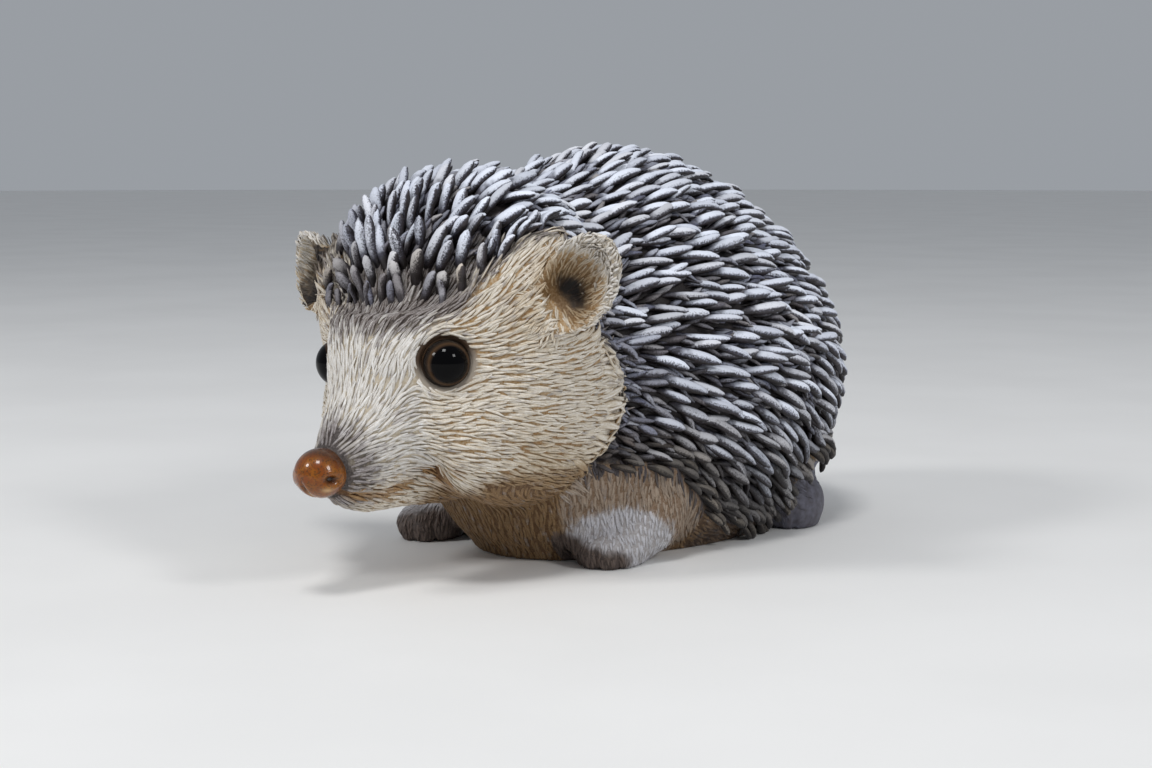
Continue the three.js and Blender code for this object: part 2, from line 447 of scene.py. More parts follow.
def make_skin_mesh():
    places, faces, labels = joined_flesh()
    solids = BVHTree.FromPolygons(places.tolist(), faces)
    mesh = remeshed(places, faces)
    p = places_of(mesh)
    chosen = (p[:, 1] < -55) & (p[:, 2] < 40) & (quill_reach(p) < 0)
    for side, sign in SIDES.items():
        across, along, _ = eye_frame(p, side)
        chosen |= (across < 9.5) & (along > -6)
        chosen |= norm(p - mirrored(EAR_HOLE, sign)) < 8
    refined(mesh, chosen)
    even_out(mesh, 6)
    p = places_of(mesh)
    label = labels[[solids.find_nearest(Vector(v))[2] for v in p]]
    depth = spread(coat_depth(p, label) + SWELL, edges_of(mesh), 3)
    set_places(mesh, p - normals_of(mesh) * depth[:, None])
    even_out(mesh, 3)
    set_places(mesh, open_sockets(hollow_ears(places_of(mesh), normals_of(mesh))))
    even_out(mesh, 2)
    p, n = places_of(mesh), normals_of(mesh)
    set_places(mesh, p + n * folds(p, n)[:, None])
    p = places_of(mesh)
    p[:, 2] = np.maximum(p[:, 2], 0.0)
    set_places(mesh, p)
    mesh.shade_smooth()
    return mesh, label


# ---- the lie of the coat -------------------------------------------------------------------------------
FACE_RISE = ([12, 24, 32, 42, 52, 60, 70, 85], [-0.9, -0.5, -0.25, -0.08, 0.1, 0.6, 1.0, 1.2])  # by height
EYE_PARTING = 7.2  # the reach of an eye, round which the strokes part


def face_flow(p, n):
    """Away from the nose, then back along the head, and round the eyes."""
    away = p - FUR_SOURCE
    reach = norm(away)[:, None]
    back = unit(away * (1, 1, 0)) + np.interp(p[:, 2], *FACE_RISE)[:, None] * (0, 0, 1)
    turn = ease(reach, 20, 40)
    fanned = away * np.where(away[:, 2:] < 0, (1.0, 1.0, 0.55), (1.0, 1.0, 1.0))
    fanned += (0.0, 2.5, 0.0) * (away[:, 2:] < 0)
    v = unit(fanned) * (1 - turn) + unit(back) * turn
    for side in SIDES:
        across, along, offset = eye_frame(p, side)
        outward = unit(offset)
        ahead = ease(dot(unit(v), outward), -0.1, 0.6)
        share = (EYE_PARTING / np.maximum(across, 5.0)) ** 2 * (along > -8)
        share = share[:, None] * (1 - 0.8 * ahead)
        v = v * (1 + share) - 2 * share * dot(v, outward) * outward
    return along_surface(v, n)


def ear_flow(p, n, side):
    """Out of the bowl to the rim, and from the root to the rim on the back of the ear."""
    return along_surface(p - mirrored(EAR_HOLE + EAR_FAN, SIDES[side]), n)


def low_flow(p, n):
    """Chest, legs and belly: down the body, then back under it."""
    under = ease(-n[:, 2:], 0.55, 0.9)
    v = np.where(p[:, 1:2] < 8, (0.0, 0.12, -1.0), (0.0, 0.85, -0.55))
    return along_surface(v * (1 - under) + np.array((0.0, 1.0, 0.0)) * under, n)


def quill_flow(p, n):
    """Back and a little down, upright over the brow, and fanned out on the crown."""
    back = ease(p[:, 1], -25, 70)
    low = fade(p[:, 2], 8, 62)
    brow = fade(p[:, 1], -56, -26) * ease(p[:, 2], 50, 66) * (1 - 0.7 * ease(p[:, 0], 11, 24))
    over_leg = fade(p[:, 1], -4, 16) * fade(p[:, 2], 22, 36)
    down = 0.10 + 0.55 * back * (0.35 + low) + 0.25 * low - 0.75 * brow + 0.45 * over_leg
    fan = 0.50 + 0.30 * np.tanh((p[:, 0] - 2) / 10)
    fan = fan * fade(p[:, 1], -50, -14) * ease(p[:, 2], 58, 72)
    return along_surface(np.stack([fan, 1.0 - 0.25 * back, -down], 1), n)


# ---- places spread evenly over the skin ----------------------------------------------------------------
class Skin:
    """The skin's surface, asked for places, normals and its unwrap."""

    def __init__(self, mesh, label):
        self.mesh, self.label = mesh, label
        self.p, self.n = places_of(mesh), normals_of(mesh)
        mesh.calc_loop_triangles()
        count = len(mesh.loop_triangles)
        self.tri, self.loop = np.empty(count * 3, np.int32), np.empty(count * 3, np.int32)
        mesh.loop_triangles.foreach_get("vertices", self.tri)
        mesh.loop_triangles.foreach_get("loops", self.loop)
        self.tri, self.loop = self.tri.reshape(-1, 3), self.loop.reshape(-1, 3)
        places = self.p.tolist()
        self.whole = BVHTree.FromPolygons(places, self.tri.tolist()), np.arange(count)
        own = np.flatnonzero(labelled(label, "head", "trunk", "tail")[self.tri].all(1))
        self.body = BVHTree.FromPolygons(places, self.tri[own].tolist()), own
        a, b, c = (self.p[self.tri[:, k]] for k in range(3))
        self.area = norm(np.cross(b - a, c - a)) / 2
        uv = np.empty(len(mesh.loops) * 2, np.float32)
        mesh.uv_layers["OFBake"].uv.foreach_get("vector", uv)
        self.uv = uv.reshape(-1, 2)

    def on(self, *starts):
        return labelled(self.label, *starts)

    def weights(self, p, face):
        """Each place's shares of its triangle's three corners."""
        a, b, c = (self.p[self.tri[face, k]] for k in range(3))
        ab, ac, ap = b - a, c - a, p - a
        bb, cc, bc = (ab * ab).sum(1), (ac * ac).sum(1), (ab * ac).sum(1)
        pb, pc = (ap * ab).sum(1), (ap * ac).sum(1)
        area = np.maximum(bb * cc - bc * bc, 1e-12)
        v, w = (cc * pb - bc * pc) / area, (bb * pc - bc * pb) / area
        weight = np.clip(np.stack([1 - v - w, v, w], 1), 0, 1)
        return weight / weight.sum(1, keepdims=True)

    def nearest(self, p, part="whole"):
        """The nearest places on the skin, or on its body only, their normals and their faces."""
        tree, faces = getattr(self, part)
        found = [tree.find_nearest(Vector(q)) for q in p]
        place = np.array([f[0] for f in found])
        face = faces[[f[2] for f in found]]
        weight = self.weights(place, face)
        return place, unit((self.n[self.tri[face]] * weight[:, :, None]).sum(1)), face

    def unwrap_at(self, p, face):
        return (self.uv[self.loop[face]] * self.weights(p, face)[:, :, None]).sum(1)

    def draw(self, chosen, count):
        """Places drawn by area on the triangles whose first vertex is chosen."""
        area = self.area * chosen[self.tri[:, 0]]
        face = rng.choice(len(area), count, p=area / area.sum())
        w = rng.dirichlet((1, 1, 1), count)
        place = (self.p[self.tri[face]] * w[:, :, None]).sum(1)
        return place, unit((self.n[self.tri[face]] * w[:, :, None]).sum(1)), face

    def spaced(self, chosen, flow, across, along, tries=11):
        """Places no closer than these distances across and along the lie, which may be functions of place."""
        mean_area = np.pi * 0.25 * np.mean(across(self.p[chosen])) * np.mean(along(self.p[chosen]))
        total = (self.area * chosen[self.tri[:, 0]]).sum()
        place, normal, face = self.draw(chosen, int(tries * total / mean_area))
        lie, reach, gap = flow(place, normal), along(place), across(place)
        cells = np.floor(place / float(max(reach.max(), 1.0))).astype(int)
        kept, grid = [], {}
        rows = zip(*(values.tolist() for values in (place, lie, reach, gap, cells)))
        for i, ((x, y, z), (fx, fy, fz), far, wide, home) in enumerate(rows):
            around = product(*((k - 1, k, k + 1) for k in home))
            for px, py, pz in (other for cell in around for other in grid.get(cell, ())):
                dx, dy, dz = x - px, y - py, z - pz
                d = dx * fx + dy * fy + dz * fz
                side = dx * dx + dy * dy + dz * dz - d * d
                if d * d / (far * far) + side / (wide * wide) < 1:
                    break
            else:
                kept.append(i)
                grid.setdefault(tuple(home), []).append((x, y, z))
        return place[kept], normal[kept], face[kept]


def unwrapped(mesh):
    holder = bpy.data.objects.new("holder", mesh)
    bpy.context.scene.collection.objects.link(holder)
    bpy.context.view_layer.objects.active = holder
    holder.select_set(True)
    mesh.uv_layers.new(name="OFBake")
    bpy.ops.object.mode_set(mode="EDIT")
    bpy.ops.mesh.select_all(action="SELECT")
    bpy.ops.uv.smart_project(angle_limit=math.radians(66), island_margin=0.002)
    bpy.ops.object.mode_set(mode="OBJECT")
    bpy.data.objects.remove(holder)


# ---- tufts and quills ----------------------------------------------------------------------------------
def clear_of_eyes(points):
    """The points, moved off the glass."""
    for side in SIDES:
        across, along, offset = eye_frame(points, side)
        push = np.maximum(LID_RADIUS - 0.1 - across, 0) * (along > -4.5) * (across < LID_RADIUS)
        points = points + unit(offset) * push[:, None]
    return points


def trace(skin, place, normal, coat, length, yaw=0.0, bend=0.0):
    """Lines along the skin from each place, less held to it as cling falls, and the skin's normals there."""
    first = coat.flow(place, normal)
    steps = coat.rings - 1
    step = (length / steps)[:, None]
    points, normals = [place], [normal]
    for k in range(steps):
        lie = unit(coat.flow(points[-1], normals[-1]) * (1 - coat.stiff) + first * coat.stiff)
        across = np.cross(normals[-1], lie)
        turn = np.broadcast_to(yaw + bend * (k / steps - 0.3), len(place))[:, None]
        free = clear_of_eyes(points[-1] + (lie * np.cos(turn) + across * np.sin(turn)) * step)
        held, n, _ = skin.nearest(free, "body" if coat.quill else "whole")
        points.append(free + (held - free) * coat.cling)
        normals.append(unit(n * coat.cling + normals[-1]))
    return np.stack(points, 1), np.stack(normals, 1)


ROOT_END, TIP_END = 0.3, 0.75  # how far a body's closing points stand off its end rings, in half widths


def swept(points, ups, half_width, half_height, section):
    """Closed bodies round many lines at once: rings of the section, with a point at each end."""
    count, rings, sides = len(points), points.shape[1], len(section)
    tangent = unit(np.gradient(points, axis=1))
    ups = unit(ups - dot(ups, tangent) * tangent)
    across = np.cross(tangent, ups)
    shape = np.asarray(section, float)
    ring = (
        points[:, :, None]
        + across[:, :, None] * (shape[None, None, :, 0] * half_width[:, :, None])[..., None]
        + ups[:, :, None] * (shape[None, None, :, 1] * half_height[:, :, None])[..., None]
    )
    root = points[:, 0] - tangent[:, 0] * half_width[:, :1] * ROOT_END
    tip = points[:, -1] + tangent[:, -1] * half_width[:, -1:] * TIP_END
    places = np.concatenate([ring.reshape(count, -1, 3), root[:, None], tip[:, None]], 1)
    walls, ends = tube_faces(rings, sides)
    start = (np.arange(count) * places.shape[1])[:, None, None]
    quads = (walls[None] + start).reshape(-1, 4)
    tris = (ends[None] + start).reshape(-1, 3)
    share = np.repeat(np.linspace(0, 1, rings), sides)
    t = np.tile(np.concatenate([share, [0, 1]]), (count, 1))
    raised = np.tile(np.concatenate([np.tile(shape[:, 1], rings), [0, 0.6]]), (count, 1))
    side = np.tile(np.concatenate([np.tile(shape[:, 0], rings), [0, 0]]), (count, 1))
    return places, quads, tris, t, raised, side


def lay_patches(mesh, root_uv, t, side, size):
    """The map OFBake: each body is a small patch at its root's place on the skin's unwrap."""
    uv = root_uv[:, None] + np.stack([side * 0.5, t - 0.5], 2) * size
    corner = np.empty(len(mesh.loops), np.int32)
    mesh.loops.foreach_get("vertex_index", corner)
    layer = mesh.uv_layers.new(name="OFBake", do_init=False)
    layer.uv.foreach_set("vector", uv.reshape(-1, 2)[corner].astype(np.float32).ravel())


ROUND = tuple((math.sin(a), math.cos(a)) for a in np.linspace(0, -2 * math.pi, 9)[:-1])
LENS = ((1.0, -0.2), (0.5, 0.85), (-0.5, 0.85), (-1.0, -0.2), (0.0, -0.8))
FUR_PATCH, QUILL_PATCH = 0.003, 0.004  # the size of one tuft on the map OFBake
LOWEST = 0.05  # no tuft reaches below this
BEND, LIFT_SPREAD = 1.4, (0.7, 1.35)  # how unlike each other the tufts are


@dataclass
class Coat:
    """One kind of tuft: the way it lies, how it rises and narrows along its length, and its cut."""

    flow: callable
    rise: callable
    profile: callable
    flatness: float
    cling: float = 1.0
    stiff: float = 0.0
    rings: int = 5
    section: tuple = LENS
    relief: float = 1.0  # how strongly the paint tells its top from its groove
    quill: bool = False


def make_tufts(skin, name, roots, coat, length, width, jitter, material, more=None):
    """Many like bodies as one mesh, rooted at these places, normals and faces of the skin."""
    place, normal, face = roots
    count = len(place)
    yaw = rng.normal(0, 1, count) * jitter
    bend = rng.normal(0, BEND, count) * jitter
    points, normals = trace(skin, place, normal, coat, length, yaw, bend)
    t = np.linspace(0, 1, coat.rings)[None]
    lift = coat.rise(t, place)
    lift = np.where(lift > 0, lift * between(*LIFT_SPREAD, count)[:, None], lift)
    points = points + normals * lift[..., None]
    half = width[:, None] / 2 * coat.profile(t, place)
    body = swept(points, normals, half, half * coat.flatness, coat.section)
    places, quads, tris, share, raised, side = body
    places[..., 2] = np.maximum(places[..., 2], LOWEST)
    if coat.quill:  # dry-brushed from above, and with painted light from above: the upper side of each quill counts as raised, so it is paler and its lower side darker
        spine, reach = (np.repeat(v, len(coat.section), axis=1) for v in (points, half))
        upward = (places[:, :-2, 2] - spine[..., 2]) / np.maximum(reach, 0.2)
        kind = Quills(place)
        raised[:, :-2] = 0.5 * raised[:, :-2] + 0.6 * upward + 0.10 * kind.crown[:, None]
        raised += 0.6 * kind.stub[:, None] * (share - 0.45)
    else:
        raised = coat.relief * (raised * (1 - 0.35 * share) + 0.45 * share)
    mesh = new_mesh(name, places.reshape(-1, 3), quads, tris)
    each = places.shape[1]
    values = {"share": share.ravel(), "raised": raised.ravel(), "side": side.ravel()}
    values["chance"] = np.repeat(rng.random(count), each)
    values.update(markings(places.reshape(-1, 3), np.repeat(normal, each, axis=0)))
    at_root = markings(place, normal)
    for own in ({key: at_root[key] for key in BY_ROOT}, more or {}):
        values.update({key: np.repeat(value, each) for key, value in own.items()})
    for key, value in values.items():
        store(mesh, key, value)
    lay_patches(mesh, skin.unwrap_at(place, face), share, side, QUILL_PATCH if coat.quill else FUR_PATCH)
    return add_piece(mesh, name, material)


# ---- markings ------------------------------------------------------------------------------------------
SNOUT_TOP, SNOUT_BACK = (0, 4.5, 6.5), (0, 4.0, 1.0)  # from the nose to the dark patch above and behind it
PAW_SHIFT = (0, -5.5, -8.0)  # from a foreleg's middle to the middle of its pale paw
TAN_SPOT = (33, -55, 62)  # in front of an ear
BROW_DEPTH = 7.0  # how far the fur runs in between the stubs over the brow
BY_ROOT = ("dark", "mouth")  # a tuft takes these from its root, and the others from where each point lies


def brow_zone(p):
    """1 in the strip above the forehead where stubs stand in grey fur, 0 elsewhere."""
    x, y, z = folded(p).T
    return fade(y, -52, -44) * fade(x, 26, 34) * ease(z, 50, 58)


def markings(p, n):
    """Where the paint changes, the same for the skin and the coat on it. Each runs from 0 to 1."""
    q, right = folded(p), (p[:, 0] < 0) * 1.0
    x, y, z = q.T
    edge, temple = forehead_edge(p), ease(x, 15, 26)
    ear = ease(near(p, EAR_CENTRE, (11.5, 9, 15)), 0, 0.25)
    smoke = 1 - (0.4 + 0.25 * right) * temple
    smoke = smoke * ease(z, edge - 9.5 + 5.0 * temple, edge + 0.5) * (y < -40) * (1 - ear)
    top = norm((p - NOSE_CENTRE - SNOUT_TOP) / (1, 1.2, 1))
    behind = norm((p - NOSE_CENTRE - SNOUT_BACK) / (1, 1.3, 1.15))
    collar = norm((p - NOSE_CENTRE) / NOSE_HALF) - 1
    snout = np.maximum(fade(top, 1.0, 8.5), 0.72 * fade(behind, 5.5, 15.0))
    snout = np.maximum(snout, fade(collar, 0.05, 0.5))
    chest = fade(z + 0.22 * y, 11.0, 17.0) * ease(y, -62, -48)
    # throat_shade: painted shade under the cheeks, darker ochre-brown where the skin faces down at the throat
    throat_shade = fade(z, 22, 30) * ease(-n[:, 2], -0.15, 0.5) * ease(y, -66, -54)
    paws = {side: PAW_CENTRE[side] + PAW_SHIFT for side in SIDES}
    paw = ease(near(p, paws, (16.5, 17.5, 11.5)), 0.04, 0.42)
    toe = ease(-y, 15.5 - 6 * right, 21.5 - 5 * right)
    toe = toe * fade(z + 0.25 * x, 9.5 + 3 * right, 14.5 + 4 * right) * (paw > 0)
    tan = 0.7 * bell(norm((q - TAN_SPOT) / (1, 1.2, 1)) / 9.0)
    tan = np.maximum(tan, 0.8 * fade(z + 0.3 * y, 16, 26) * ease(y, -62, -50) * ease(x, 8, 20))
    # mouth: painted shade, dark ochre-brown along the fold of the mouth and deepest at its corner
    mouth = np.zeros(len(p))
    for sign in SIDES.values():
        distance, _ = line_distance(p, mirrored(MOUTH, sign))
        pocket = norm((p - mirrored(POCKET, sign)) / (1.0, 1.4, 1.0))
        mouth = np.maximum(mouth, fade(np.minimum(distance + 0.4, pocket - 2.0), 0.4, 2.4))
    shifted = p - BOWL_SHIFT * np.sign(p[:, :1])
    bowl, whole_bowl = (ear_bowl(shifted, n, BOWL_REACH, 0.85, 0.2, lip) for lip in (3.3, 99.0))
    pale = fade(x, 10, 19) * fade(y, -64, -55) * ease(z, 22, 30)
    pale = np.maximum(pale, 0.75 * ear * fade(whole_bowl, 0.1, 0.6))
    dark = ease(quill_reach(p) - BROW_DEPTH * brow_zone(p), -1.0, 2.0)
    # Painted shade: the low belly behind the forelegs darkened towards the paint of the skin under the quills
    dark = np.maximum(dark, 0.55 * ease(y, 0, 14) * fade(z, 12, 20))
    leg = ease(near(p, PAW_CENTRE, (17, 24, 21)), 0.02, 0.2) * fade(z, 22, 28)
    foot = ease(near(p, HIND_CENTRE, (11.5, 14, 13)), 0.05, 0.15)
    # The dark hole inside each ear; in the right ear it spreads over most of the bowl as painted shade.
    hole = ear_bowl(p, n, HOLE_REACH, 0.62, 0.0, 2.5)
    tan, chest, throat_shade = tan * (1 - ear), chest * (1 - ear), throat_shade * (1 - ear)
    return dict(pale=pale, tan=tan, smoke=smoke, snout=snout, chest=chest, throat_shade=throat_shade, leg=leg,
                mouth=mouth, paw=paw, toe=toe, foot=foot, bowl=bowl, hole=hole, dark=dark)


def ear_bowl(p, n, radius, stretch=0.85, core=0.45, lip=99.0):
    """1 deep inside an ear's bowl, 0 on its rim, outside and beyond the lip."""
    value = np.zeros(len(p))
    for side, sign in SIDES.items():
        axis, slant = unit(mirrored(EAR_OPEN, sign)), unit(mirrored(EAR_SLANT, sign))
        away = p - mirrored(EAR_HOLE, sign)
        along, length = away @ axis, away @ slant
        away = away - along[:, None] * axis - (1 - stretch) * length[:, None] * slant
        away[:, 2] *= np.where(away[:, 2] < 0, 0.75, 1.0)
        reach = norm(away) + 0.25 * np.abs(along)
        inwards = away @ unit(mirrored(EAR_LIP, sign)) - 0.3 * np.maximum(-length, 0)
        hidden = ease(inwards, lip - 0.5, lip + 0.5)
        facing = ease(n @ axis, -0.25, 0.25) * (1 - hidden)
        value = np.maximum(value, facing * fade(reach, radius[side] * core, radius[side] * 1.15))
    return value


# ---- materials -----------------------------------------------------------------------------------------
def paint(r, g, b):
    """A colour given as it is seen, 0 to 255, as the shader needs it."""
    seen = np.array((r, g, b)) / 255
    return (*np.where(seen > 0.0404, ((seen + 0.055) / 1.055) ** 2.4, seen / 12.92).tolist(), 1.0)


class Shader:
    """A node material built from small calls."""

    def __init__(self, name):
        self.material = bpy.data.materials.new(name)
        self.material.use_nodes = True
        self.tree = self.material.node_tree
        self.surface = self.tree.nodes["Principled BSDF"]

    def feed(self, sockets, values):
        """Links a node's output to each socket, or sets the socket's own value."""
        for key, value in values.items():
            if isinstance(value, bpy.types.NodeSocket):
                self.tree.links.new(value, sockets[key])
            else:
                sockets[key].default_value = value

    def node(self, kind, output, inputs, **settings):
        made = self.tree.nodes.new("ShaderNode" + kind)
        for key, value in settings.items():
            setattr(made, key, value)
        self.feed(made.inputs, inputs)
        return made.outputs[output]

    def attribute(self, name):
        return self.node("Attribute", "Fac", {}, attribute_name=name, attribute_type="GEOMETRY")

    def noise(self, size, detail=2.0, roughness=0.5):
        """Noise with spots of about this size in millimetres."""
        where = self.node("TexCoord", "Object", {})
        return self.node("TexNoise", "Fac", {"Vector": where, "Scale": 1 / (size * MM), "Detail": detail,
                                             "Roughness": roughness})

    def maths(self, operation, a, b):
        return self.node("Math", "Value", {0: a, 1: b}, operation=operation)

    def add(self, a, b):
        return self.maths("ADD", a, b)

    def times(self, a, b):
        return self.maths("MULTIPLY", a, b)

    def centred(self, value, amount):
        return self.times(self.maths("SUBTRACT", value, 0.5), amount)

    def ease(self, value, start, end, low=0.0, high=1.0):
        inputs = {"Value": value, "From Min": start, "From Max": end, "To Min": low, "To Max": high}
        return self.node("MapRange", 0, inputs, interpolation_type="SMOOTHSTEP")

    def mix(self, factor, a, b, blend="MIX"):
        return self.node("Mix", 2, {0: factor, 6: a, 7: b}, data_type="RGBA", blend_type=blend)

    def bump(self, height, strength, distance):
        """A bump of this height, and this distance in millimetres."""
        inputs = {"Height": height, "Strength": strength, "Distance": distance * MM}
        self.feed(self.surface.inputs, {"Normal": self.node("Bump", "Normal", inputs)})

    def finish(self, **inputs):
        self.feed(self.surface.inputs, {key.replace("_", " "): value for key, value in inputs.items()})
        return self.material


# The paint of each region of the fur: in the grooves, over most of it, and on the ridges.
FUR_PAINT = {
    "face": ((152, 118, 72), (206, 194, 174), (240, 236, 230)),
    "pale": ((182, 168, 144), (213, 207, 198), (238, 237, 236)),
    "tan": ((134, 98, 56), (184, 166, 138), (224, 214, 198)),
    "smoke": ((50, 41, 36), (100, 90, 84), (173, 167, 166)),
    "snout": ((52, 45, 42), (110, 101, 98), (176, 170, 170)),
    "chest": ((92, 66, 42), (150, 120, 84), (172, 146, 112)),
    # Painted shade under the cheeks.
    "throat_shade": ((84, 58, 34), (136, 108, 74), (176, 154, 122)),
    "leg": ((112, 88, 66), (158, 141, 124), (184, 172, 158)),
    # Painted shade in the mouth's fold and its corner.
    "mouth": ((88, 58, 34), (142, 106, 66), (184, 154, 114)),
    "paw": ((156, 150, 148), (200, 199, 204), (228, 230, 236)),
    "toe": ((66, 56, 52), (104, 90, 82), (128, 118, 116)),
    "foot": ((80, 78, 86), (116, 117, 132), (142, 144, 160)),
    "bowl": ((104, 76, 44), (160, 136, 104), (208, 194, 170)),
    "hole": ((18, 14, 12), (32, 24, 20), (66, 52, 42)),
    "dark": ((43, 37, 36), (72, 66, 68), (128, 128, 146)),
}
FUR_PAINT = {key: [paint(*tone) for tone in tones] for key, tones in FUR_PAINT.items()}

# Each paint covers those before it.
PAINT_ORDER = ("pale", "tan", "chest", "throat_shade", "leg", "smoke", "snout", "mouth", "paw", "toe", "foot",
               "bowl", "hole", "dark")


def region_paints(s):
    """The three paints of each place, mixed by the markings with ragged edges."""
    tones = FUR_PAINT["face"]
    ragged = s.centred(s.noise(1.6, 3.0), 0.7)
    strand, loose_strand = (s.add(ragged, s.centred(s.attribute("chance"), amount)) for amount in (0.4, 0.9))
    edges = {"smoke": loose_strand, **dict.fromkeys(("tan", "leg", "chest", "paw", "snout"), strand)}
    for key in PAINT_ORDER:
        factor = s.ease(s.add(s.attribute(key), edges.get(key, ragged)), 0.12, 0.88)
        tones = [s.mix(factor, tone, other) for tone, other in zip(tones, FUR_PAINT[key])]
    return tones


def streaks(s, across, along):
    """Fine lines along each tuft, different on every one."""
    chance = s.attribute("chance")
    x, y = (s.add(s.times(s.attribute(key), lines), s.times(chance, apart))
            for key, lines, apart in (("side", across, 317.0), ("share", along, 171.0)))
    where = s.node("CombineXYZ", "Vector", {"X": x, "Y": y})
    return s.node("TexNoise", "Fac", {"Vector": where, "Scale": 1.0, "Detail": 2.0, "Roughness": 0.55})


def fur_material():
    s = Shader("fur_paint")
    speckle, streak = s.noise(0.4, 3.0, 0.65), streaks(s, 2.4, 1.6)
    height = s.add(s.times(s.attribute("raised"), 0.75), s.centred(streak, 1.5))
    brushed = s.add(height, s.centred(speckle, 0.9))
    groove, body, top = region_paints(s)
    colour = s.mix(s.ease(brushed, -0.25, 0.55), groove, body)
    colour = s.mix(s.ease(brushed, 0.45, 1.15), colour, top)
    tint = s.ease(s.attribute("chance"), 0.0, 1.0, 0.93, 1.05)
    shade = s.node("CombineColor", "Color", {"Red": tint, "Green": tint, "Blue": tint})
    colour = s.mix(1.0, colour, shade, "MULTIPLY")
    s.bump(s.add(s.times(streak, 1.6), s.noise(0.3, 2.0, 0.6)), 0.55, 0.14)
    rough = s.ease(speckle, 0.3, 0.7, 0.62, 0.5)
    return s.finish(Base_Color=colour, Roughness=rough, Specular_IOR_Level=0.35)


def skin_material():
    s = Shader("skin_paint")
    speckle = s.noise(0.5, 3.0, 0.65)
    groove, body, _ = region_paints(s)
    share = s.maths("MAXIMUM", s.ease(speckle, 0.35, 0.75, 0.0, 0.6), s.attribute("smooth"))
    colour = s.mix(share, groove, body)
    # The lids: pale grey-cream below, with painted shade in dark brown on the upper lid under the brow.
    lid = s.mix(s.attribute("brow_side"), paint(158, 147, 134), paint(70, 52, 38))
    colour = s.mix(s.attribute("lid"), colour, lid)
    s.bump(s.noise(0.6, 3.0, 0.6), 0.4, 0.15)
    return s.finish(Base_Color=colour, Roughness=0.55, Specular_IOR_Level=0.3)


def quill_material():
    s = Shader("quill_paint")
    grain, patchy, streak = s.noise(0.4, 4.0, 0.7), s.noise(2.6, 2.0), streaks(s, 2.0, 1.0)
    rough = s.add(s.centred(grain, 1.3), s.centred(streak, 0.7))
    top = s.add(s.attribute("raised"), rough)
    reach = s.add(s.maths("SUBTRACT", s.attribute("share"), s.attribute("late")), s.centred(patchy, 0.5))
    white = s.times(s.ease(top, 0.20, 0.62), s.ease(reach, 0.20, 0.50))
    white = s.times(white, s.attribute("white"))
    grey = s.times(s.ease(top, -0.15, 0.7), s.ease(reach, 0.0, 0.5))
    grey = s.times(grey, s.ease(grain, 0.36, 0.6, 0.35, 1.0))
    warm = s.attribute("warm")
    dark = s.mix(s.ease(patchy, 0.4, 0.65), paint(36, 30, 28), paint(56, 50, 52))
    middle = s.mix(warm, paint(104, 107, 130), paint(108, 94, 80))
    light = s.mix(warm, paint(238, 243, 255), paint(220, 208, 192))
    colour = s.mix(white, s.mix(grey, dark, middle), light)
    # Painted shade: the quills darkened by their shade attribute, low on the rear, towards the hem and among
    # the under quills.
    colour = s.mix(s.attribute("shade"), colour, paint(26, 21, 19))
    s.bump(s.add(streak, s.noise(0.4, 3.0, 0.6)), 0.5, 0.16)
    rough = s.ease(white, 0.0, 1.0, 0.46, 0.6)
    return s.finish(Base_Color=colour, Roughness=rough, Specular_IOR_Level=0.4)


# The glass eye's colours from the middle of the pupil, at 0, over the brown ring to the ball's side, at 1.
EYE_RINGS = [
    (0.0, (2, 2, 3)), (0.51, (3, 2, 3)), (0.55, (46, 34, 25)), (0.61, (72, 53, 36)), (0.67, (46, 35, 26)),
    (0.74, (22, 17, 14)), (0.82, (18, 14, 12)), (0.90, (58, 43, 31)), (1.0, (42, 32, 26)),
]


def eye_material():
    """Black glass under a clear coat, which alone gives the gloss."""
    s = Shader("eye_glass")
    ramp = s.tree.nodes.new("ShaderNodeValToRGB")
    s.feed(ramp.inputs, {"Fac": s.attribute("off_axis")})
    while len(ramp.color_ramp.elements) < len(EYE_RINGS):
        ramp.color_ramp.elements.new(1.0)
    for element, (at, colour) in zip(ramp.color_ramp.elements, EYE_RINGS):
        element.position, element.color = at, paint(*colour)
    return s.finish(Base_Color=ramp.outputs["Color"], Roughness=0.4, Specular_IOR_Level=0.0, Coat_Weight=1.0,
                    Coat_Roughness=0.01, Coat_IOR=1.2)


def nose_material():
    s = Shader("nose_varnish")
    blotch, fleck = s.noise(2.2, 3.0, 0.6), s.noise(0.5, 3.0, 0.7)
    colour = s.mix(s.ease(blotch, 0.35, 0.7), paint(122, 60, 6), paint(142, 84, 16))
    colour = s.mix(s.ease(fleck, 0.50, 0.64, 0.0, 0.85), colour, paint(70, 44, 20))
    # tan: a painted highlight below each nostril, and the tan lower end of the groove.
    colour = s.mix(s.attribute("tan"), colour, paint(196, 156, 104))
    colour = s.mix(s.attribute("dim"), colour, paint(44, 31, 24))
    s.bump(s.noise(1.6, 2.0), 0.25, 0.3)
    return s.finish(Base_Color=colour, Roughness=0.3, Specular_IOR_Level=0.2, Coat_Weight=1.0,
                    Coat_Roughness=0.05, Coat_IOR=1.3)


# ---- eyes and nose -------------------------------------------------------------------------------------
def ball(rings, sides):
    """A unit ball: its points, quads and triangles, with the poles on the Y axis."""
    turn = np.linspace(0, 2 * np.pi, sides, endpoint=False)
    tilt = np.repeat(np.linspace(0, np.pi, rings + 2)[1:-1], sides)
    turn = np.tile(turn, rings)
    walls = np.stack([np.sin(tilt) * np.cos(turn), np.cos(tilt), np.sin(tilt) * np.sin(turn)], 1)
    return np.concatenate([walls, [(0, 1, 0), (0, -1, 0)]]), *tube_faces(rings, sides)


SLACK = 0.05  # the eyes and the nose stay inside their solids by this


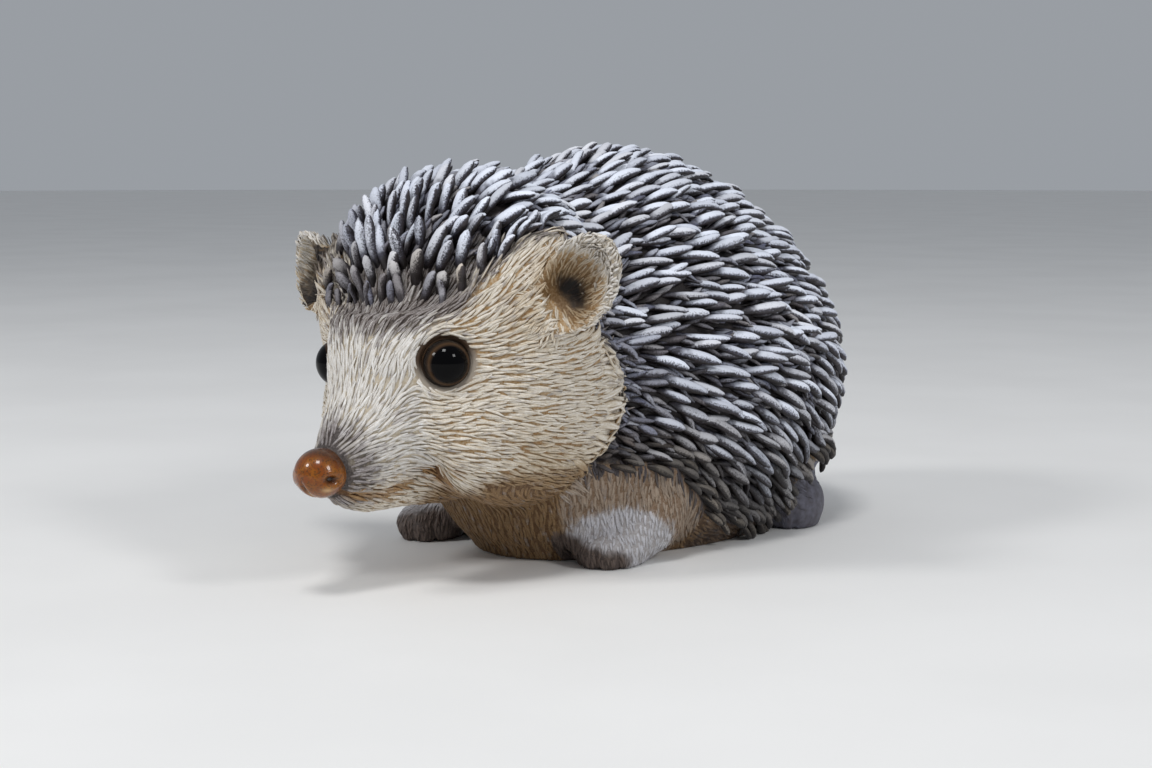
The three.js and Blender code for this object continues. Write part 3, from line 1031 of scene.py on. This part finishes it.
def make_eye(side, material):
    points, quads, tris = ball(40, 64)
    gaze = unit(mirrored(GAZE[side], SIDES[side]))
    name = f"glass_eye_{side}"
    mesh = new_mesh(name, EYE_CENTRE[side] + points * (EYE_RADIUS - SLACK), quads, tris)
    store(mesh, "off_axis", np.arccos(np.clip(points @ gaze, -1, 1)) / (np.pi / 2))
    return add_piece(mesh, name, material, [f"eye_{side}"])


NOSTRIL, NOSTRIL_DEPTH = (1.0, -0.32, -0.15), 0.30  # the way to it, and a share of the nose's size


def make_nose(material):
    """A rounded nose with a nostril on each side and a groove below."""
    points, quads, tris = ball(60, 96)
    x, y, z = points.T
    size, dim, tan = np.ones(len(points)), np.zeros(len(points)), np.zeros(len(points))
    for sign in SIDES.values():
        nostril = unit(mirrored(NOSTRIL, sign))
        gap = norm((points - nostril) * (0.8, 0.75, 1.35))
        size += 0.04 * bell((gap - 0.40) / 0.14) - NOSTRIL_DEPTH * bell(gap / 0.21)
        dim = np.maximum(dim, np.exp(-((gap / 0.215) ** 4)))
        # A tan spot below each nostril: a painted highlight.
        below = norm((points - unit(nostril - (0.15 * sign, 0.1, 0.42))) * (0.8, 0.8, 1.4))
        tan = np.maximum(tan, 0.9 * bell(below / 0.17))
    groove = bell(x / 0.09) * ease(-z, 0.05, 0.6) * ease(-y, -0.1, 0.4)
    size -= 0.10 * groove + 0.05 * ease(-z, 0.2, 0.9)
    tan = np.maximum(tan, groove * ease(-z, 0.5, 0.9))
    dim = np.maximum(dim, 0.7 * groove * fade(-z, 0.5, 0.9))
    dim = np.maximum(dim, 0.72 * ease(0.6 * y + z, 0.1, 0.75))
    places = NOSE_CENTRE + points * size[:, None] * (NOSE_HALF - SLACK)
    mesh = new_mesh("varnished_nose", places, quads, tris)
    store(mesh, "dim", dim)
    store(mesh, "tan", tan)
    return add_piece(mesh, "varnished_nose", material, ["nose"])


# ---- the coat ------------------------------------------------------------------------------------------
class Quills:
    """How a quill changes over the body: thin strands at the ruff, full grown behind, stout on the crown."""

    def __init__(self, p):
        x, y, z = p.T
        over_brow = z - forehead_edge(p)
        over_hem = np.minimum(z - np.interp(y, *HEM), 1.6 * past_arch(p))
        self.crown = fade(y, -44, -22) * ease(z, 56, 68)
        self.grown = np.maximum(ease(y - np.interp(z, *RUFF_EDGE), 0.5, 15), self.crown)
        temple = self.crown * ease(x, 16, 25) * fade(over_brow, 5, 12)
        # far: the right side of the crown, where the stubs reach higher and the quills run shorter; their
        # white is held back there as painted shade.
        self.far = self.crown * ease(-x, 10, 20) * fade(over_brow, 14, 26)
        self.stub = self.crown * fade(over_brow - 5 * self.far, 2.5, 9) * (1 - temple)
        self.stand = self.crown * fade(y, -54, -42) * (1 - temple)
        self.hem = fade(over_hem, 1, 16)
        crown, stub, hem = self.crown, self.stub, self.hem
        self.width = (1.1 + 1.3 * self.grown) * (1 + 0.14 * crown) * (1 + 0.1 * stub) * (1 - 0.15 * hem)
        self.width *= 1 - 0.34 * temple
        self.length = (6.0 + 6.4 * self.grown) * (1 - 0.35 * crown) * (1 - 0.4 * stub) * (1 - 0.44 * hem)
        self.length *= 1 - 0.22 * temple - 0.18 * self.far
        # shade: partly the darker paint of the low quills and partly painted shade, darkening and warming
        # them low on the rear and towards the hem
        self.shade = np.clip(0.50 * fade(z, 14, 52) * ease(y, -34, 0) + 0.35 * hem, 0, 0.7)


def quill_rise(t, p):
    kind = Quills(p)
    tip = QUILL_TIP * (0.62 + 0.38 * kind.grown) * (1 + 0.10 * kind.crown + 0.4 * kind.stand)
    tip = tip * (1 - 0.35 * kind.hem) * (1 - 0.3 * kind.stub)
    curved, straight = 1 - (1 - t) ** 1.7, t**0.9
    share = curved + (straight - curved) * kind.crown[:, None]
    return -0.9 + (tip[:, None] + 0.9) * share


# A quill's share of its full width along its length: on the body, on the crown, and over the brow.
SLIM = ([0, 0.2, 0.45, 0.65, 0.82, 0.93, 1.0], [0.4, 0.62, 0.90, 1.0, 0.90, 0.68, 0.38])
STOUT = ([0, 0.3, 0.6, 0.82, 0.93, 1.0], [0.6, 0.86, 1.0, 0.96, 0.80, 0.48])
STUMP = ([0, 0.3, 0.85, 0.95, 1.0], [0.82, 0.94, 1.0, 0.88, 0.6])


def quill_profile(t, p):
    blunt = Quills(p).crown[:, None]
    slim, stout, stump = (np.interp(t, *widths) for widths in (SLIM, STOUT, STUMP))
    return slim + (stout - slim) * blunt + (stump - stout) * Quills(p).stub[:, None]


def under_rise(t, p):
    return -0.5 + (0.52 * QUILL_TIP + 0.5) * (1 - (1 - t) ** 1.6) + 0 * p[:, :1]


QUILL = Coat(quill_flow, quill_rise, quill_profile, 0.8, cling=0.7, stiff=0.55, rings=9,
             section=ROUND, quill=True)
UNDER = Coat(quill_flow, under_rise, quill_profile, 0.9, cling=0.85, quill=True)
STIFF_PROBE = replace(QUILL, rings=6)  # the probes only find out where a quill would run
PROBE = replace(QUILL, rings=6, cling=0.8, stiff=0.0)


EAR_NEAR, EAR_GAP = 24, 0.7  # a quill rooted this near an ear has to pass it with this gap


def through_ears(skin, place, normal):
    """Whether a quill from each place would run through an ear."""
    struck = np.zeros(len(place), bool)
    own = np.flatnonzero(np.minimum.reduce([norm(place - c) for c in EAR_CENTRE.values()]) < EAR_NEAR)
    points, ups = trace(skin, place[own], normal[own], PROBE, Quills(place[own]).length)
    points = points + ups * quill_rise(np.linspace(0, 1, PROBE.rings)[None], place[own])[..., None]
    points = points[:, 1:].reshape(-1, 3)
    held, n, face = skin.nearest(points)
    ear = labelled(skin.label[skin.tri[face, 0]], "ear")
    struck[own] = (ear & (((points - held) * n).sum(1) < EAR_GAP)).reshape(len(own), -1).any(1)
    return struck


def curls(skin, place, normal):
    """Whether a quill from each place would curl back under the body."""
    points, _ = trace(skin, place, normal, STIFF_PROBE, Quills(place).length)
    steps = unit(np.diff(points, axis=1))
    return (steps[:, 0] * steps[:, -1]).sum(1) < MOST_CURL


def rooted(skin, chosen, across, along, *faults):
    """Places, normals and faces for quills on the body, but for those whose quill would have a fault."""
    body = chosen & ~skin.on("tail", "ear", "fore", "hind")
    roots = skin.spaced(body, quill_flow, across, along)
    free = ~np.logical_or.reduce([fault(skin, *roots[:2]) for fault in faults])
    return [v[free] for v in roots]


def add_in_zones(skin, zones, roots, coat, sizes, jitter, material, more):
    """One piece for each zone of the roots, their lengths and widths, and what the paint needs to know."""
    for name, zone in zones.items():
        length, width = (v[zone] for v in sizes)
        make_tufts(skin, name, [v[zone] for v in roots], coat, length, width, jitter[zone], material,
                   {key: v[zone] for key, v in more.items()})


LENGTH_SPREAD, WIDTH_SPREAD = (0.7, 1.28), (0.78, 1.26)


def add_quills(skin, material):
    def across(p):
        kind = Quills(p)
        return (0.90 + 0.12 * kind.grown - 0.08 * kind.crown + 0.36 * kind.stub) * kind.width

    def along(p):
        kind = Quills(p)
        return (0.42 + 0.08 * kind.grown - 0.06 * kind.crown + 0.40 * kind.stub) * kind.length

    roots = rooted(skin, quill_reach(skin.p) > 0.3, across, along, through_ears, curls)
    place, count = roots[0], len(roots[0])
    kind = Quills(place)
    sizes = kind.length * between(*LENGTH_SPREAD, count), kind.width * between(*WIDTH_SPREAD, count)
    white = (0.16 + 0.84 * ease(kind.grown, 0.5, 1.0)) * (1 - 0.3 * kind.hem) * (1 - 0.1 * kind.stub)
    warm = 0.8 * kind.stub + 0.6 * kind.hem + 0.5 * kind.shade
    more = {
        # Less white on the right of the crown: painted shade.
        "white": white * between(0.7, 1.0, count) * (1 - 0.45 * kind.far),
        "warm": np.clip(warm + between(-0.3, 0.25, count), 0, 1),
        "shade": np.clip(kind.shade + between(-0.2, 0.2, count), 0, 0.85),
        "late": 0.10 * kind.crown + between(-0.08, 0.08, count),
    }
    jitter = 0.15 + 0.10 * kind.crown + 0.20 * (1 - kind.grown)
    x, y = place[:, 0], place[:, 1]
    flank = (y >= CROWN_END) & (y < RUMP_START)
    zones = {"quills_crown": y < CROWN_END, "quills_left": flank & (x > 0), "quills_right": flank & (x <= 0),
             "quills_rump": y >= RUMP_START}
    add_in_zones(skin, zones, roots, QUILL, sizes, jitter, material, more)


UNDER_GAPS = level(1.45), level(3.6)  # across and along the lie
UNDER_LENGTHS, UNDER_WIDTHS, UNDER_JITTER = (5.5, 9.5), (1.2, 2.0), 0.28


def add_undercoat(skin, material):
    """Smaller quills that fill the gaps between the others, darker partly by their own paint and partly by
    painted shade in the gaps.
    """
    inside = quill_reach(skin.p) - BROW_DEPTH * brow_zone(skin.p) - 2.5 * (skin.p[:, 2] < 34)
    roots = rooted(skin, inside > 1.5, *UNDER_GAPS, through_ears)
    place, count = roots[0], len(roots[0])
    kind = Quills(place)
    more = {
        "white": between(0.0, 0.5, count),
        "warm": np.clip(0.5 * kind.hem + between(-0.2, 0.6, count), 0, 1),
        "shade": np.clip(kind.shade + between(-0.1, 0.35, count), 0, 0.85),
        "late": between(0.0, 0.3, count),
    }
    sizes = between(*UNDER_LENGTHS, count), between(*UNDER_WIDTHS, count)
    zones = {"under_front": place[:, 1] < UNDER_SPLIT, "under_back": place[:, 1] >= UNDER_SPLIT}
    add_in_zones(skin, zones, roots, UNDER, sizes, np.full(count, UNDER_JITTER), material, more)


def rising(root, height, power=1.0):
    """A stroke's height above the skin along its length, the same all over the body."""
    return lambda t, p: root + height * t**power + 0 * p[:, :1]


def tapering(*widths):
    """A stroke's share of its full width along its length, the same all over the body."""
    return lambda t, p: np.interp(t, [0, 0.25, 0.6, 0.85, 1.0], widths) + 0 * p[:, :1]


FUR_RISE, RUFF_RISE, RIM_RISE = rising(-0.20, 0.50, 0.8), rising(-0.35, 1.8, 1.2), rising(-0.2, 0.9)
LOW_RISE = rising(-0.22, 0.36)
FUR_PROFILE, LOBE_PROFILE = tapering(0.6, 0.95, 1.0, 0.75, 0.3), tapering(0.6, 0.9, 1.0, 0.85, 0.5)


def fur_areas(skin):
    """Each area of fur: where it is, its coat, the gaps across and along, lengths, widths and jitter."""
    p, reach = skin.p, quill_reach(skin.p)
    x, y, z = p.T
    body = ~skin.on("ear", "fore", "hind") & (z > 0.6)
    low = (z + 0.22 * y < 12) & (y > -60) | (y > -30) & (z < 26)
    clear = norm((p - NOSE_CENTRE) / (NOSE_HALF + 0.4)) > 1
    for side, sign in SIDES.items():
        across, along, offset = eye_frame(p, side)
        behind, above = (ease(unit(offset) @ unit(mirrored(way, sign)), -0.1, 0.5)
                         for way in ((0.25, 0.5, 0.8), (-0.6, -0.37, 0.7)))
        clear &= ~((across < 6.6 - 0.6 * np.maximum(behind, above)) & (along > -6))
    bowl = ear_bowl(p, skin.n, BOWL_CLEAR, lip=6.5)
    mouth = markings(p, skin.n)["mouth"]
    face = (reach < 1.0 + BROW_DEPTH * brow_zone(p)) & ~low & body & clear & (mouth < 0.93) & (bowl < 0.3)
    temple = (np.abs(x) > 17) & (z > 62)
    ruff = face & (reach > -7) & (reach < -0.5) & (y > -46) & (z > 26)
    wisps = body & (reach > -0.8) & (reach < 5) & ((y > -46) | temple) & (z > 32)
    fur = Coat(face_flow, FUR_RISE, FUR_PROFILE, 0.65)
    lobes = Coat(face_flow, RUFF_RISE, LOBE_PROFILE, 0.38, 0.55)
    strands = Coat(face_flow, RUFF_RISE, FUR_PROFILE, 0.6, 0.8)
    belly, paws = (Coat(low_flow, LOW_RISE, FUR_PROFILE, flatness, relief=0.55) for flatness in (0.4, 0.3))
    tail = Coat(low_flow, RUFF_RISE, FUR_PROFILE, 0.6)
    areas = {
        "fur_face_left": (face & (x > 0), fur, (0.56, 2.0), (3.4, 6.4), (0.65, 1.0), 0.14),
        "fur_face_right": (face & (x <= 0), fur, (0.56, 2.0), (3.4, 6.4), (0.65, 1.0), 0.14),
        "fur_ruff": (ruff, lobes, (1.1, 2.0), (4.0, 9.5), (1.0, 2.2), 0.28),
        "fur_wisps": (wisps, strands, (1.1, 2.6), (4.5, 8.0), (0.6, 1.3), 0.26),
        "fur_low": (low & body & (reach < 1.5), belly, (0.75, 2.0), (3.5, 6.0), (0.8, 1.2), 0.14),
        "fur_tail": (skin.on("tail"), tail, (1.0, 1.8), (3.0, 4.4), (1.0, 1.5), 0.2),
        "fur_feet": (skin.on("foreleg") & (z > 0.5), paws, (0.65, 1.9), (2.6, 4.2), (0.6, 1.0), 0.13),
    }
    for side in SIDES:
        ear, flow = skin.on(f"ear_{side}"), partial(ear_flow, side=side)
        fine = Coat(flow, LOW_RISE, FUR_PROFILE, 0.5, relief=0.8)
        rim = Coat(flow, RIM_RISE, LOBE_PROFILE, 0.6, 0.6)
        areas[f"fur_ear_{side}"] = (ear, fine, (0.46, 1.8), (3.0, 5.4), (0.45, 0.75), 0.2)
        areas[f"fur_rim_{side}"] = (ear & (bowl < 0.2), rim, (0.6, 1.3), (2.0, 3.6), (0.5, 0.9), 0.28)
    return areas


def add_fur(skin, material):
    for name, (where, coat, gaps, lengths, widths, jitter) in fur_areas(skin).items():
        roots = skin.spaced(where, coat.flow, level(gaps[0]), level(gaps[1]))
        count = len(roots[0])
        smoky = name == "fur_wisps"
        more = {"smoke": between(0.35, 0.9, count), "dark": between(0.0, 0.3, count)} if smoky else {}
        length, width = between(*lengths, count), between(*widths, count)
        make_tufts(skin, name, roots, coat, length, width, jitter, material, more)


# ---- the scene -----------------------------------------------------------------------------------------
LIT_PLACE = (0, 0, 0.04)
WINDOWS = {  # each window's place in metres, its width and its power
    "window_left": ((-0.45, -0.95, 0.80), 0.24, 4.5),
    "window_top": ((0.28, -0.55, 1.15), 0.26, 5.5),
    "window_right": ((1.05, -0.10, 0.75), 0.24, 3.5),
}
SKY, SKY_POWER = (0.80, 0.85, 0.92, 1), 0.40
FLOOR_REACH, FLOOR_SIDES, FLOOR_DROP = 6000, 64, -0.02
CAMERA_PLACE = (0.30314, -0.38638, 0.0945)
CAMERA_TURN, CAMERA_DOWN = math.radians(38), math.radians(6.39)


def add_light(name, place, size, power):
    lamp = bpy.data.lights.new(name, "AREA")
    lamp.shape, lamp.size, lamp.energy = "SQUARE", size, power
    holder = bpy.data.objects.new(name, lamp)
    holder.location = place
    holder.rotation_euler = (Vector(LIT_PLACE) - Vector(place)).to_track_quat("-Z", "Y").to_euler()
    bpy.context.scene.collection.objects.link(holder)


def add_stage():
    """A pale floor, a pale blue sky and three windows."""
    scene = bpy.context.scene
    k = np.arange(FLOOR_SIDES)
    turn = k * (2 * np.pi / FLOOR_SIDES)
    rim = np.stack([FLOOR_REACH * np.cos(turn), FLOOR_REACH * np.sin(turn), 0 * turn + FLOOR_DROP], 1)
    faces = np.stack([k, (k + 1) % FLOOR_SIDES, 0 * k + FLOOR_SIDES], 1)
    mesh = new_mesh("floor", np.concatenate([rim, [(0, 0, FLOOR_DROP)]]), faces)
    s = Shader("floor")
    tone = s.mix(s.ease(s.noise(90.0, 3.0), 0.3, 0.7), paint(236, 235, 233), paint(240, 239, 237))
    mesh.materials.append(s.finish(Base_Color=tone, Roughness=0.7, Specular_IOR_Level=0.2))
    floor = bpy.data.objects.new("floor", mesh)
    scene.collection.objects.link(floor)
    world = bpy.data.worlds.new("studio")
    world.use_nodes = True
    sky = world.node_tree.nodes["Background"].inputs
    sky["Color"].default_value, sky["Strength"].default_value = SKY, SKY_POWER
    scene.world = world
    scene.view_settings.view_transform = "Standard"
    for name, window in WINDOWS.items():
        add_light(name, *window)


def add_camera():
    lens = bpy.data.cameras.new("camera")
    lens.lens, lens.sensor_width, lens.sensor_fit = 62.5, 36.0, "HORIZONTAL"
    lens.clip_start, lens.clip_end = 0.02, 60.0
    camera = bpy.data.objects.new("camera", lens)
    camera.location = CAMERA_PLACE
    camera.rotation_euler = (math.pi / 2 - CAMERA_DOWN, 0, CAMERA_TURN)
    bpy.context.scene.collection.objects.link(camera)
    bpy.context.scene.camera = camera


def store_skin_marks(skin):
    """What the skin's paint needs to know: the markings, the lids and the smooth hind feet."""
    lid, brow_side = np.zeros(len(skin.p)), np.zeros(len(skin.p))
    for side, sign in SIDES.items():
        across, along, offset = eye_frame(skin.p, side)
        own = (along > -4) * fade(across, LID_RADIUS + 0.3, LID_RADIUS + 1.4)
        lid = np.maximum(lid, own)
        turned = unit(offset) @ unit(mirrored(BROW_WAY, sign))
        # The upper lid under the brow gets painted shade.
        brow_side = np.maximum(brow_side, (own > 0) * ease(turned, -0.4, 0.4))
    marks = markings(skin.p, skin.n)
    marks.update(lid=lid, brow_side=brow_side, chance=np.full(len(skin.p), 0.5))
    marks["smooth"] = skin.on("hindfoot") * 1.0
    for key, values in marks.items():
        store(skin.mesh, key, values)


def main():
    add_camera()
    add_stage()
    mesh, label = make_skin_mesh()
    unwrapped(mesh)
    skin = Skin(mesh, label)
    store_skin_marks(skin)
    add_piece(mesh, "skin", skin_material(), FLESH)
    quill_paint = quill_material()
    add_quills(skin, quill_paint)
    add_undercoat(skin, quill_paint)
    add_fur(skin, fur_material())
    glass = eye_material()
    for side in SIDES:
        make_eye(side, glass)
    make_nose(nose_material())


main()
